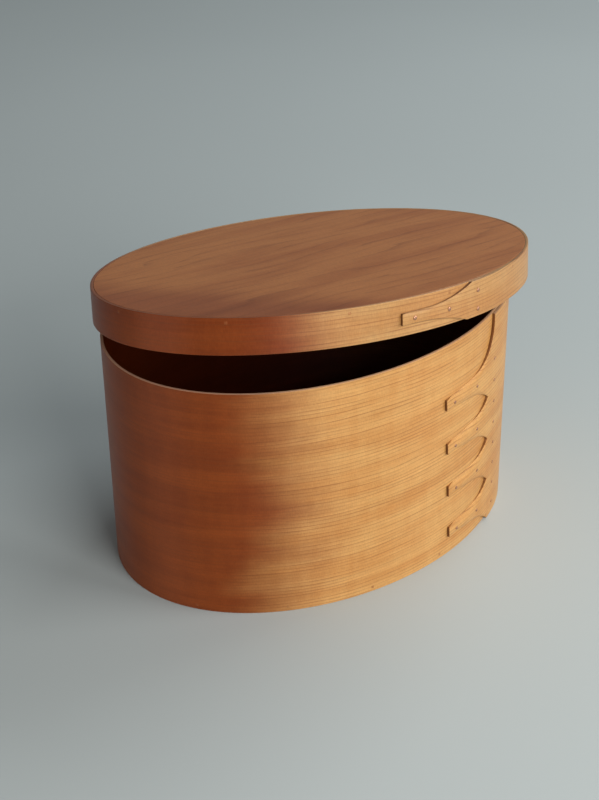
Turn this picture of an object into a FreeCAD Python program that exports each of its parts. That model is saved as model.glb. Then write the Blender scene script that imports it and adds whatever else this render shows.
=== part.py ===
"""Shaker oval box of bent cherry bands, with its lid tipped ajar on the rim.

Lengths are millimetres and angles degrees. +Z is up, +X runs along the box, and
the origin is the middle of the base, on the surface that the box stands on.

Each band is one thin strip bent round an oval core. Its outer end is sawn into
fingers and laps over its own inner end, which is feathered so that the lap
closes without a step inside. Copper tacks driven through the lap are clinched
inside, and an oval board in each band is held by square tapered wooden pegs.
"""
import FreeCAD, Part

import bisect
import math
import os

from FreeCAD import Placement, Rotation, Vector

# ---- Box -------------------------------------------------------------------
BOX_LENGTH = 358.0           # over one thickness of band, along X
BOX_WIDTH = 261.0            # over one thickness of band, along Y
BOX_HEIGHT = 190.0
BOX_BAND_THICKNESS = 2.4
BOTTOM_BOARD_THICKNESS = 8.0

BOX_FINGER_COUNT = 4
BOX_LOWEST_FINGER = 20.8     # lowest finger's centre line, above the base
BOX_HIGHEST_FINGER = 50.2    # highest finger's centre line, below the rim
BOX_END_FROM_FRONT = 14.0    # band's outer end at the rim, along the core from the front middle
BOX_END_LEAN = 0.075         # how much farther round that end lies, for each unit lower down
BOX_FINGER_TIP_WIDTH = 9.6
BOX_FINGER_TAPER = 6.0       # slope of a finger's straight sides
BOX_FINGER_STRAIGHT = 36.0   # length of those straight sides
BOX_FINGER_ARC = 38.0        # radius of the curve that opens each finger out
BOX_VALLEY_NOSE = 1.6        # radius at the closed end of each valley

BOX_TIP_TACK = 9.2           # tack rows, measured from the finger tips
BOX_MIDDLE_TACK = 39.7
BOX_ROOT_TACK = 70.8

BOX_PEG_COUNT = 14
BOX_FIRST_PEG = -65.0        # first peg, measured from the band's outer end

# ---- Lid -------------------------------------------------------------------
LID_SIDE_CLEARANCE = 7.1     # lid band to one thickness of box band, when centred
LID_HEIGHT = 26.9
LID_BAND_THICKNESS = 2.4
LID_BOARD_THICKNESS = 7.0

LID_END_FROM_FRONT = -44.0    # band's outer end, which is the finger's tip
LID_FINGER_TIP_WIDTH = 8.8
LID_FINGER_TAPER = 1.0
LID_FINGER_STRAIGHT = 20.0
LID_FINGER_ARC = 130.0

LID_TIP_TACK = 10.5
LID_MIDDLE_TACK = 42.5
LID_ROOT_TACK = 74.0
LID_LOWER_ROOT_TACK = 5.4    # above the lid's lower edge
LID_UPPER_ROOT_TACK = 0.6    # below the underside of the board

LID_PEG_COUNT = 12
LID_FIRST_PEG = -40.0

# ---- Laps, shared by both bands --------------------------------------------
LAP_GAP = 0.1                # hairline between the two layers of a lap
LAP_PAST_ROOT_TACK = 8.0     # full thickness that runs on under the root tacks
FEATHER_LENGTH = 56.0        # over which the inner end is thinned
FEATHER_EDGE = 0.3           # thickness left at the very end
LANDING_LENGTH = 16.0        # in which the outer layer settles onto the core

# ---- Fastenings and fits ---------------------------------------------------
TACK_HEAD_DIAMETER = 3.3
TACK_HEAD_HEIGHT = 0.6
TACK_CROWN_DIAMETER = 1.9    # flat that the hammer leaves on top of the head
TACK_HEAD_FACETS = 12        # facets that it leaves round the head
TACK_SHANK_WIDTH = 1.5       # square shank, under the head
TACK_POINT_WIDTH = 0.8       # where it leaves the wood inside
TACK_CLINCH_LENGTH = 2.2     # point turned over against the inside
TACK_CLINCH_END = 0.3        # width at the very point

PEG_HEAD_WIDTH = 2.2         # square peg, cut off flush
PEG_POINT_WIDTH = 0.9
PEG_LENGTH = 13.0

BOARD_CLEARANCE = 0.1        # board edge to the band round it
HOLE_RUN_OUT = 1.0           # how far a drilled hole runs past the wood it goes through

# ---- The lid's place -------------------------------------------------------
LID_TILT = 10.3              # how far the lid stands open
TILT_AXIS_HEADING = -35.0    # direction of the line it tips about, from +X
LID_CLOSED_SEAT = 0.15       # board to rim when the lid is down
TILT_AXIS_INSET = 1.0        # tipping line, inside the back of the box band
LID_BACK_GAP = 2.9           # play left between the bands at the tipping line
LID_LEFT_GAP = 1.9           # play left between them at the line's left end

# ---- How finely curves are drawn -------------------------------------------
CURVE_STEP = 10.0            # spacing of the points that a band's curve passes
TANGENT_STEP = 0.01          # half the distance over which a curve's heading is taken
PLAIN_SPANS = 7              # faces that the plain length of a band is divided into
OVAL_TABLE_STEPS = 1440
CUT_MARGIN = 4.0             # how far a cutter runs past what it cuts

UP = Vector(0, 0, 1)


def line(start, end):
    """Straight edge."""
    return Part.LineSegment(start, end).toShape()


def smooth_step(fraction):
    """Rise from 0 to 1 with level ends, clamped outside the range."""
    f = min(max(fraction, 0.0), 1.0)
    return f * f * (3.0 - 2.0 * f)


class Oval:
    """An elliptical core, with distances measured along it from a start point."""

    def __init__(self, half_length, half_width, start_from_front=0.0):
        self.half_length = half_length
        self.half_width = half_width
        self.turns = [0.0]
        step = 2.0 * math.pi / OVAL_TABLE_STEPS
        for i in range(OVAL_TABLE_STEPS):
            middle = -math.pi / 2.0 + (i + 0.5) * step
            speed = math.hypot(half_length * math.sin(middle), half_width * math.cos(middle))
            self.turns.append(self.turns[-1] + speed * step)
        self.perimeter = self.turns[-1]
        self.start = start_from_front

    def parameter(self, distance):
        """Ellipse parameter at a distance from the start, anticlockwise from above."""
        along = (distance + self.start) % self.perimeter
        i = min(bisect.bisect_right(self.turns, along), OVAL_TABLE_STEPS) - 1
        part = (along - self.turns[i]) / (self.turns[i + 1] - self.turns[i])
        return -math.pi / 2.0 + (i + part) * 2.0 * math.pi / OVAL_TABLE_STEPS

    def normal(self, distance):
        """Outward unit normal."""
        u = self.parameter(distance)
        across = Vector(self.half_width * math.cos(u), self.half_length * math.sin(u), 0)
        return across.normalize()

    def point(self, distance, offset=0.0, height=0.0):
        """Point at an offset outward from the core."""
        u = self.parameter(distance)
        on_core = Vector(self.half_length * math.cos(u), self.half_width * math.sin(u), height)
        return on_core + self.normal(distance) * offset

    def farthest(self, direction):
        """Point of the core that reaches farthest in a level direction."""
        x = self.half_length ** 2 * direction.x
        y = self.half_width ** 2 * direction.y
        reach = math.hypot(self.half_length * direction.x, self.half_width * direction.y)
        return Vector(x / reach, y / reach, 0)

    def grown(self, offset):
        """The oval with both half axes longer by an offset, from the same start."""
        return Oval(self.half_length + offset, self.half_width + offset, self.start)

    def board(self, thickness, base):
        """Flat oval board that fills the core less its clearance."""
        half_length = self.half_length - BOARD_CLEARANCE
        half_width = self.half_width - BOARD_CLEARANCE
        edge = Part.Ellipse(Vector(0, 0, base), half_length, half_width).toShape()
        return Part.Face(Part.Wire([edge])).extrude(UP * thickness)


class Fingers:
    """Outline of the swallowtail fingers, as distance from the tips and height.

    A side leaves the blunt tip at a slight taper and then opens out along an arc,
    until it meets the next finger's side in a narrow nose or runs off the band.
    The line that the tips end on may lean a little, as on a strip bent by hand.
    """

    def __init__(self, centres, tip_width, taper, straight, arc, height, nose=0.0, lean=0.0):
        self.centres = centres
        self.half_tip = tip_width / 2.0
        self.slope = math.radians(taper)
        self.straight = straight
        self.arc = arc
        self.nose = nose
        self.height = height
        self.lean = lean
        self.half_root = self.half_tip + straight * math.tan(self.slope)
        self.centre_along = straight - arc * math.sin(self.slope)
        self.centre_out = self.half_root + arc * math.cos(self.slope)

    def tip_line(self, height):
        """Distance along the strip of the line that the finger tips end on."""
        return self.lean * (self.height - height)

    def spot(self, along, height):
        """Point of an outline, at a distance past the tip line."""
        return Vector(along + self.tip_line(height), 0, height)

    def arc_point(self, angle):
        """Point on the arc: distance from the tips, and from the finger's centre."""
        along = self.centre_along + self.arc * math.sin(angle)
        out = self.centre_out - self.arc * math.cos(angle)
        return along, out

    def start_at(self, height):
        """Distance along the strip at which the outer layer begins at a height."""
        out = min(abs(height - centre) for centre in self.centres)
        if out <= self.half_tip:
            return self.tip_line(height)
        if out <= self.half_root:
            return self.tip_line(height) + (out - self.half_tip) / math.tan(self.slope)
        drop = max(self.centre_out - out, 0.0)
        reach = math.sqrt(max(self.arc ** 2 - drop ** 2, 0.0))
        return self.tip_line(height) + self.centre_along + reach

    def end_cut(self):
        """Outline of the strip's end cut away up to the tip line."""
        low, high = -CUT_MARGIN, self.height + CUT_MARGIN
        corners = [Vector(low, 0, low), self.spot(0.0, low), self.spot(0.0, high), Vector(low, 0, high)]
        return Part.Face(Part.makePolygon(corners + corners[:1]))

    def edge_cut(self, centre, side, band_edge):
        """Outline of the wood cut away between the end finger and the band's edge."""
        top = max(abs(band_edge - centre), self.centre_out) + CUT_MARGIN
        corner = (-CUT_MARGIN, self.half_tip)
        middle = self.arc_point((self.slope + math.pi / 2.0) / 2.0)
        end = self.arc_point(math.pi / 2.0)
        root = (self.straight, self.half_root)
        spots = [corner, (0.0, self.half_tip), root, middle, end, (end[0], top), (-CUT_MARGIN, top)]
        a, b, c, d, e, f, g = [self.spot(along, centre + side * out) for along, out in spots]
        edges = [line(a, b), line(b, c), Part.Arc(c, d, e).toShape()]
        edges += [line(e, f), line(f, g), line(g, a)]
        return Part.Face(Part.Wire(edges))

    def valley_cut(self, centre, half_pitch):
        """Outline of the valley between two fingers, whose middle is at centre."""
        out_of_line = self.centre_out - half_pitch
        reach = math.sqrt((self.arc - self.nose) ** 2 - out_of_line ** 2)
        nose_along = self.centre_along + reach
        meeting = math.atan2(reach, out_of_line)
        touch = self.arc_point(meeting)
        middle = self.arc_point((self.slope + meeting) / 2.0)
        spots = [(-CUT_MARGIN, self.half_tip), (0.0, self.half_tip), (self.straight, self.half_root)]
        spots += [middle, touch]
        low = [self.spot(along, centre - (half_pitch - out)) for along, out in spots]
        high = [self.spot(along, centre + (half_pitch - out)) for along, out in spots]
        nose = self.spot(nose_along + self.nose, centre)
        edges = []
        for side in (low, high):
            edges += [line(side[0], side[1]), line(side[1], side[2])]
            edges.append(Part.Arc(side[2], side[3], side[4]).toShape())
        edges.append(Part.Arc(low[4], nose, high[4]).toShape())
        edges.append(line(high[0], low[0]))
        return Part.Face(Part.Wire(Part.__sortEdges__(edges)))

    def cut_outlines(self):
        """Every outline cut out of the lap's outer layer."""
        low, high = self.centres[0], self.centres[-1]
        outlines = [self.edge_cut(low, -1, 0.0), self.edge_cut(high, 1, self.height)]
        for below, above in zip(self.centres, self.centres[1:]):
            outlines.append(self.valley_cut((below + above) / 2.0, (above - below) / 2.0))
        if self.lean:
            outlines.append(self.end_cut())
        return outlines


class Band:
    """One strip bent round a core and lapped over its own feathered inner end."""

    def __init__(self, core, thickness, height, fingers, root_tack):
        self.core = core
        self.thickness = thickness
        self.height = height
        self.fingers = fingers
        self.full_length = fingers.tip_line(0.0) + root_tack + LAP_PAST_ROOT_TACK
        self.inner_end = self.full_length + FEATHER_LENGTH

    def inner_layer(self, distance):
        """Thickness of the inner end, at a distance past the finger tips."""
        thinned = smooth_step((distance - self.full_length) / FEATHER_LENGTH)
        return self.thickness - (self.thickness - FEATHER_EDGE) * thinned

    def rise(self, distance):
        """How far the outer layer's inside stands off the core."""
        if distance < self.inner_end:
            return self.inner_layer(distance) + LAP_GAP
        settled = smooth_step((distance - self.inner_end) / LANDING_LENGTH)
        return (FEATHER_EDGE + LAP_GAP) * (1.0 - settled)

    def curve(self, first, last, offset):
        """Level curve from one distance to another, offset by a function of distance."""
        count = max(int(math.ceil((last - first) / CURVE_STEP)), 2)
        places = [first + (last - first) * i / count for i in range(count + 1)]
        heading = [self.core.point(place + TANGENT_STEP, offset(place + TANGENT_STEP))
                   - self.core.point(place - TANGENT_STEP, offset(place - TANGENT_STEP))
                   for place in (first, last)]
        spline = Part.BSplineCurve()
        spline.interpolate(Points=[self.core.point(place, offset(place)) for place in places],
                           InitialTangent=heading[0].normalize(), FinalTangent=heading[1].normalize(),
                           Scale=False)
        return spline.toShape()

    def joints(self):
        """Distances at which the strip's faces are divided."""
        perimeter = self.core.perimeter
        settled = self.inner_end + LANDING_LENGTH
        plain = [settled + (perimeter - settled) * i / PLAIN_SPANS for i in range(PLAIN_SPANS + 1)]
        lapped = [perimeter + self.full_length, perimeter + self.inner_end]
        return [0.0, self.full_length, self.inner_end] + plain + lapped

    def face_edges(self, offset):
        """Edges along the whole strip at an offset, one for each divided face."""
        stops = self.joints()
        return [self.curve(first, last, offset) for first, last in zip(stops, stops[1:])]

    def outside(self, distance):
        """Offset of the strip's outer face, over its whole length."""
        past = distance - self.core.perimeter
        return self.inner_layer(past) if past > 0.0 else self.rise(distance) + self.thickness

    def inside(self, distance):
        """Offset of the strip's inner face, over its whole length."""
        return 0.0 if distance > self.core.perimeter else self.rise(distance)

    def strip(self):
        """The bent strip with a plain outer end."""
        edges = self.face_edges(self.outside) + self.face_edges(self.inside)
        for end in (0.0, self.core.perimeter + self.inner_end):
            inner, outer = self.inside(end), self.outside(end)
            edges.append(line(self.core.point(end, inner), self.core.point(end, outer)))
        return Part.Face(Part.Wire(Part.__sortEdges__(edges))).extrude(UP * self.height)

    def lap_zone(self):
        """Space outside the middle of the lap's hairline gap, over the fingers."""
        first, last = -2.0 * CUT_MARGIN, self.full_length
        outermost = 2.0 * self.thickness + LAP_GAP + CUT_MARGIN
        near = self.curve(first, last, lambda distance: self.thickness + LAP_GAP / 2.0)
        far = self.curve(first, last, lambda distance: outermost)
        edges = [near, far]
        for vertex in (0, 1):
            edges.append(line(near.Vertexes[vertex].Point, far.Vertexes[vertex].Point))
        zone = Part.Face(Part.Wire(Part.__sortEdges__(edges)))
        zone.translate(-UP * CUT_MARGIN)
        return zone.extrude(UP * (self.height + 2.0 * CUT_MARGIN))

    def finger_cutters(self):
        """The fingers' cut outlines set square to the lap's middle, as solids."""
        middle = self.full_length / 2.0
        outward = self.core.normal(middle)
        along = UP.cross(outward)
        origin = self.core.point(middle) - along * middle
        turn = Rotation(along, -outward, UP, "XYZ")
        cutters = []
        for outline in self.fingers.cut_outlines():
            prism = outline.extrude(Vector(0, -2.0 * middle, 0))
            prism.translate(Vector(0, middle, 0))
            prism.Placement = Placement(origin, turn).multiply(prism.Placement)
            cutters.append(prism)
        return cutters

    def solid(self, fastening_holes):
        """The finished band, with its fingers and a hole for each fastening."""
        zone = self.lap_zone()
        cuts = [cutter.common(zone) for cutter in self.finger_cutters()]
        return self.strip().cut(cuts).cut(fastening_holes)

    def face_offset(self, distance, height):
        """Offset of the outermost wood at a place on the band."""
        past = distance % self.core.perimeter
        if past < self.fingers.start_at(height):
            return self.thickness
        return self.outside(past)


class Spike:
    """A square tapered fastening driven square into a band from outside."""

    def __init__(self, band, distance, height):
        self.outward = band.core.normal(distance)
        self.depth = band.face_offset(distance, height)
        self.seat = band.core.point(distance, self.depth, height)

    def shank(self, length, head_width, point_width, past_head=0.0, past_point=0.0):
        """The taper from the band's face inward, run on past its ends."""
        slope = (head_width - point_width) / 2.0 / length
        wide = head_width / 2.0 + slope * past_head
        narrow = point_width / 2.0 - slope * past_point
        taper = Part.makeWedge(-narrow, -length - past_point, -narrow, -wide, -wide,
                               narrow, past_head, narrow, wide, wide)
        taper.Placement = Placement(self.seat, self.turned(self.outward, UP))
        return taper

    def turned(self, y_axis, z_axis):
        """Rotation that points Y and Z along two square directions."""
        return Rotation(y_axis.cross(z_axis), y_axis, z_axis, "XYZ")


class Peg(Spike):
    """Wooden peg through a band into the edge of its board, cut off flush."""

    def solid(self, past_head=0.0):
        """The peg, with its head left standing out if asked."""
        return self.shank(PEG_LENGTH, PEG_HEAD_WIDTH, PEG_POINT_WIDTH, past_head)

    def hole(self):
        """The hole that it fills."""
        return self.solid(HOLE_RUN_OUT)


class Tack(Spike):
    """Cut copper tack through both layers of a lap, with its point clinched inside."""

    def body(self, past=0.0):
        """The shank as far as the middle of the bend, run on past both ends if asked."""
        length = self.depth + TACK_POINT_WIDTH / 2.0
        return self.shank(length, TACK_SHANK_WIDTH, TACK_POINT_WIDTH, past, past)

    def hole(self):
        """The hole that the shank has made."""
        return self.body(HOLE_RUN_OUT)

    def head(self):
        """Hammered head: a shallow faceted cone with a flat crown."""
        turns = [2.0 * math.pi * i / TACK_HEAD_FACETS for i in range(TACK_HEAD_FACETS + 1)]
        spokes = [Vector(math.cos(turn), math.sin(turn), 0) for turn in turns]
        rim = [spoke * (TACK_HEAD_DIAMETER / 2.0) for spoke in spokes]
        crown = [spoke * (TACK_CROWN_DIAMETER / 2.0) + UP * TACK_HEAD_HEIGHT for spoke in spokes]
        outlines = [rim, crown]
        for i in range(TACK_HEAD_FACETS):
            outlines.append([rim[i], rim[i + 1], crown[i + 1], crown[i], rim[i]])
        faces = [Part.Face(Part.makePolygon(outline)) for outline in outlines]
        head = Part.Solid(Part.Shell(faces))
        head.Placement = Placement(self.seat, Rotation(UP, self.outward))
        return head

    def clinch(self):
        """The point, bent down flat against the inside of the lap."""
        half = TACK_POINT_WIDTH / 2.0
        end = TACK_CLINCH_END / 2.0
        point = Part.makeWedge(-half, 0, -half, -end, -end,
                               half, TACK_CLINCH_LENGTH, half, end, end)
        bend = self.seat - self.outward * (self.depth + half)
        point.Placement = Placement(bend, self.turned(-UP, self.outward))
        return point

    def solid(self):
        """The clinched tack."""
        return self.head().fuse([self.body(), self.clinch()]).removeSplitter()


def finger_tacks(band, tip, middle, root, half_spread):
    """Tacks of every finger: one at the tip, one in the middle, two at the root."""
    tacks = []
    for centre in band.fingers.centres:
        places = [(tip, centre), (middle, centre)]
        places += [(root, centre - half_spread), (root, centre + half_spread)]
        tacks.append([Tack(band, distance + band.fingers.tip_line(height), height)
                      for distance, height in places])
    return tacks


def pegs_round(band, count, first, height):
    """Pegs at even distances all round the band."""
    pitch = band.core.perimeter / count
    return [Peg(band, first + pitch * i, height) for i in range(count)]


def holes_for(tacks, pegs):
    """Holes of every fastening in a band."""
    return [spike.hole() for group in tacks + [pegs] for spike in group]


def make_box():
    """The box's pieces, by node name, and its core."""
    core = Oval(BOX_LENGTH / 2.0 - BOX_BAND_THICKNESS, BOX_WIDTH / 2.0 - BOX_BAND_THICKNESS,
                BOX_END_FROM_FRONT)
    pitch = (BOX_HEIGHT - BOX_HIGHEST_FINGER - BOX_LOWEST_FINGER) / (BOX_FINGER_COUNT - 1)
    centres = [BOX_LOWEST_FINGER + pitch * i for i in range(BOX_FINGER_COUNT)]
    fingers = Fingers(centres, BOX_FINGER_TIP_WIDTH, BOX_FINGER_TAPER, BOX_FINGER_STRAIGHT,
                      BOX_FINGER_ARC, BOX_HEIGHT, BOX_VALLEY_NOSE, BOX_END_LEAN)
    band = Band(core, BOX_BAND_THICKNESS, BOX_HEIGHT, fingers, BOX_ROOT_TACK)
    tacks = finger_tacks(band, BOX_TIP_TACK, BOX_MIDDLE_TACK, BOX_ROOT_TACK, pitch / 4.0)
    pegs = pegs_round(band, BOX_PEG_COUNT, BOX_FIRST_PEG, BOTTOM_BOARD_THICKNESS / 2.0)
    board = core.board(BOTTOM_BOARD_THICKNESS, 0.0)
    pieces = {"box_band": band.solid(holes_for(tacks, pegs)),
              "bottom_board": board.cut([peg.hole() for peg in pegs])}
    for finger, group in enumerate(tacks, start=1):
        for number, tack in enumerate(group, start=1):
            pieces["box_tack_%d_%d" % (finger, number)] = tack.solid()
    for number, peg in enumerate(pegs, start=1):
        pieces["bottom_peg_%02d" % number] = peg.solid()
    return pieces, core


def make_lid(box_core):
    """The lid's pieces standing level, with their lower edge at zero, and the lid's core."""
    core = box_core.grown(BOX_BAND_THICKNESS + LID_SIDE_CLEARANCE)
    core.start = LID_END_FROM_FRONT
    board_base = LID_HEIGHT - LID_BOARD_THICKNESS
    upper_tack = board_base - LID_UPPER_ROOT_TACK
    centre = (LID_LOWER_ROOT_TACK + upper_tack) / 2.0
    fingers = Fingers([centre], LID_FINGER_TIP_WIDTH, LID_FINGER_TAPER,
                      LID_FINGER_STRAIGHT, LID_FINGER_ARC, LID_HEIGHT)
    band = Band(core, LID_BAND_THICKNESS, LID_HEIGHT, fingers, LID_ROOT_TACK)
    tacks = finger_tacks(band, LID_TIP_TACK, LID_MIDDLE_TACK, LID_ROOT_TACK, upper_tack - centre)
    pegs = pegs_round(band, LID_PEG_COUNT, LID_FIRST_PEG, board_base + LID_BOARD_THICKNESS / 2.0)
    board = core.board(LID_BOARD_THICKNESS, board_base)
    pieces = {"lid_band": band.solid(holes_for(tacks, pegs)),
              "lid_board": board.cut([peg.hole() for peg in pegs])}
    for number, tack in enumerate(tacks[0], start=1):
        pieces["lid_tack_%d" % number] = tack.solid()
    for number, peg in enumerate(pegs, start=1):
        pieces["lid_peg_%02d" % number] = peg.solid()
    return pieces, core


def tipping_line(box_core):
    """A point on the line that the lid tips about, and the line's direction.

    Turning about the direction lifts the front of the lid. The line lies just
    inside the back of the box band, level with the closed lid's lower edge.
    """
    heading = math.radians(TILT_AXIS_HEADING)
    along = Vector(math.cos(heading), math.sin(heading), 0)
    backward = UP.cross(along)
    back = box_core.grown(BOX_BAND_THICKNESS).farthest(backward)
    height = BOX_HEIGHT + LID_CLOSED_SEAT - (LID_HEIGHT - LID_BOARD_THICKNESS)
    return back - backward * TILT_AXIS_INSET + UP * height, -along


def lid_placement(box_core, opened=LID_TILT):
    """Where the lid goes, opened by an angle from closed."""
    pivot, axis = tipping_line(box_core)
    forward = UP.cross(axis)
    shift = forward * (LID_SIDE_CLEARANCE - LID_BACK_GAP) - axis * (LID_SIDE_CLEARANCE - LID_LEFT_GAP)
    closed = Placement(shift + UP * pivot.z, Rotation())
    tip = Placement(Vector(), Rotation(axis, opened), pivot)
    return tip.multiply(closed)


def main():
    """Build every piece, set the lid ajar and write one STEP file per node."""
    os.makedirs("parts", exist_ok=True)
    pieces, box_core = make_box()
    lid_pieces, _ = make_lid(box_core)
    placement = lid_placement(box_core)
    for name, shape in lid_pieces.items():
        shape.Placement = placement.multiply(shape.Placement)
        pieces[name] = shape
    for name, shape in pieces.items():
        shape.exportStep(os.path.join("parts", name + ".step"))


main()
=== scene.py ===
"""Dresses an oval box of bent cherry: its bands, boards, pegs and copper tacks.

Lengths are metres in the row frame: +Z is up, +X runs along the oval, and the origin is
the middle of the base. Each mesh carries a point attribute, "grain", with every point's
place in the flat board before it was bent: along the grain, across it and through it. The
finishes read it, so figure and growth lines run round a band with the wood. A strip's face
attribute, "sawn", says how far a face shows end grain.
"""

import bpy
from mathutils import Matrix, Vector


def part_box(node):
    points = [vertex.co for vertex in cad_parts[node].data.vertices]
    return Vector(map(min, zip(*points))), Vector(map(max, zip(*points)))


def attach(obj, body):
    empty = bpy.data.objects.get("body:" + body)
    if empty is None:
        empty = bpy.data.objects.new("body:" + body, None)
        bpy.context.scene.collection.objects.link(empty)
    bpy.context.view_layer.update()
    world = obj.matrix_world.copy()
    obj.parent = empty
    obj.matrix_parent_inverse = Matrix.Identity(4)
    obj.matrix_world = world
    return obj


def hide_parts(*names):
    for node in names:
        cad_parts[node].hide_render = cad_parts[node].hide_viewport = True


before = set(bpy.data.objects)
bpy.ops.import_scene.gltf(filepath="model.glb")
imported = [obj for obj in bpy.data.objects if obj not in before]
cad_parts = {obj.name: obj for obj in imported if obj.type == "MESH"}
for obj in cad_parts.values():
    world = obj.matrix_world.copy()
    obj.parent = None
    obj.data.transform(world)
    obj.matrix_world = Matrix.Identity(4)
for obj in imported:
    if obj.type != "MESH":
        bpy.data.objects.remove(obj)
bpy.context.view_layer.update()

import logging
import math
from dataclasses import dataclass, field
from enum import Enum
from functools import cached_property

import bpy
import numpy as np
from mathutils import Matrix, Vector

Array = np.ndarray
Mesh = tuple[Array, list[Array]]
Span = tuple[float, float]
Colour = tuple[float, float, float]
Socket = bpy.types.NodeSocket
Material = bpy.types.Material
Piece = bpy.types.Object

log = logging.getLogger("oval_box")

MM = 0.001
UP = np.array([0.0, 0.0, 1.0])
GRAIN = "grain"
SAWN = "sawn"
SHARP_ANGLE = math.radians(50.0)
OVAL_TABLE_STEPS = 2880
# A noise is moved by its shift times these, along its three axes.
SHIFT_SHARES = (1.0, 0.7, 0.4)
# Rows of an outline that rise by less than this are taken as one.
LEAST_RISE = 1e-7
# Distances from a sharp edge at which a rounded arris is drawn, as shares of its radius.
ARRIS_STEPS = np.array([0.0, 0.1, 0.3, 0.6, 1.0, 1.6])


# ---- Meshes ----


@dataclass(frozen=True)
class Seat:
    """Where a sub-assembly stands: a turn about the origin and then a shift."""

    turn: Array
    shift: Array

    def put(self, points: Array) -> Array:
        """Points moved from the sub-assembly's own frame to the row frame."""
        return points @ self.turn.T + self.shift


LEVEL = Seat(np.eye(3), np.zeros(3))


@dataclass(frozen=True)
class Shape:
    """A mesh as arrays, in its sub-assembly's own frame.

    Attributes:
        points: one row of x, y and z per vertex.
        faces: arrays of vertex numbers, one row per face, of three or four columns.
        grain: one row of flat-board coordinates per vertex.
        sawn: how far each of the last faces shows end grain, from 0 to 1.
    """

    points: Array
    faces: list[Array]
    grain: Array
    sawn: Array | None = None

    def make(self, name: str, material: Material, seat: Seat = LEVEL) -> Piece:
        """Put the shape into a new mesh object, smooth-shaded up to its sharp edges.

        Args:
            name: the object's name.
            material: the finish.
            seat: where the sub-assembly stands.

        Returns:
            The object, at the origin, unturned and unscaled.
        """
        mesh = bpy.data.meshes.new(name)
        loops = np.concatenate([rows.ravel() for rows in self.faces]).astype(np.int32)
        sizes = np.concatenate([np.full(len(rows), rows.shape[1]) for rows in self.faces])
        starts = np.concatenate([[0], np.cumsum(sizes)[:-1]]).astype(np.int32)
        mesh.vertices.add(len(self.points))
        mesh.vertices.foreach_set("co", seat.put(self.points).astype(np.float32).ravel())
        mesh.loops.add(len(loops))
        mesh.loops.foreach_set("vertex_index", loops)
        mesh.polygons.add(len(starts))
        mesh.polygons.foreach_set("loop_start", starts)
        mesh.polygons.foreach_set("use_smooth", np.ones(len(starts), dtype=bool))
        mesh.update(calc_edges=True)
        place = mesh.attributes.new(GRAIN, "FLOAT_VECTOR", "POINT")
        place.data.foreach_set("vector", self.grain.astype(np.float32).ravel())
        if self.sawn is not None:
            long_grain = np.zeros(len(starts) - len(self.sawn))
            ends = np.concatenate([long_grain, self.sawn]).astype(np.float32)
            mesh.attributes.new(SAWN, "FLOAT", "FACE").data.foreach_set("value", ends)
        mesh.set_sharp_from_angle(angle=SHARP_ANGLE)
        mesh.materials.append(material)
        piece = bpy.data.objects.new(name, mesh)
        bpy.context.scene.collection.objects.link(piece)
        return piece


def ribbon_faces(start: Array, end: Array) -> Array:
    """Quads between rows of vertex numbers, along the first row and back along the second."""
    return np.stack([start[..., :-1], start[..., 1:], end[..., 1:], end[..., :-1]], axis=-1)


def grid_faces(rows: int, columns: int, first: int = 0, closed: bool = False) -> Array:
    """Quads of a grid whose vertices are numbered row by row.

    Args:
        rows: number of rows.
        columns: vertices in a row.
        first: number of the grid's first vertex.
        closed: whether each row joins its own start.

    Returns:
        Four vertex numbers per quad, turning from a column's step to a row's step.
    """
    numbers = first + np.arange(rows * columns).reshape(rows, columns)
    if closed:
        numbers = np.hstack([numbers, numbers[:, :1]])
    return ribbon_faces(numbers[:-1], numbers[1:]).reshape(-1, 4)


def capped(rings: Array, foot: float, crown: float) -> Mesh:
    """Close a stack of rings with two fans, each from a point on the Z axis.

    Args:
        rings: points by ring and by place round it, anticlockwise from above. They run
            outward along the underside, up the side and inward along the top.
        foot: height of the point inside the first ring.
        crown: height of the point inside the last ring.

    Returns:
        Points, and faces that point outwards.
    """
    count, around = rings.shape[:2]
    points = np.vstack([rings.reshape(-1, 3), foot * UP, crown * UP])
    first = np.arange(around)
    after = np.roll(first, -1)
    top = (count - 1) * around
    fans = [np.stack([after, first, np.full_like(first, count * around)], axis=-1),
            np.stack([first + top, after + top, np.full_like(first, count * around + 1)], axis=-1)]
    return points, [grid_faces(count, around, closed=True), *fans]


def steps(start: float, end: float, count: int) -> Array:
    """Even steps from a start, which is left out, to an end."""
    return np.linspace(start, end, count + 1)[1:]


def full_turn(count: int) -> Array:
    """Even angles once round, in radians."""
    return np.linspace(0.0, 2 * math.pi, count, endpoint=False)


def smooth(distance: Array, length: float) -> Array:
    """Smooth S from 0 to 1 over a length: three times the share squared less twice its cube."""
    share = np.clip(distance / length, 0.0, 1.0)
    return share ** 2 * (3 - 2 * share)


def rounding(distance: Array, radius: float) -> Array:
    """How far a rounded arris lies under the flat face, at a distance from the edge.

    The arris is a quarter circle: radius less the root of radius squared less the
    square of what is left of the radius at that distance.
    """
    left = radius - np.clip(distance, 0.0, radius)
    return radius - np.sqrt(np.maximum(radius ** 2 - left ** 2, 0.0))


# ---- Shapes ----


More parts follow.
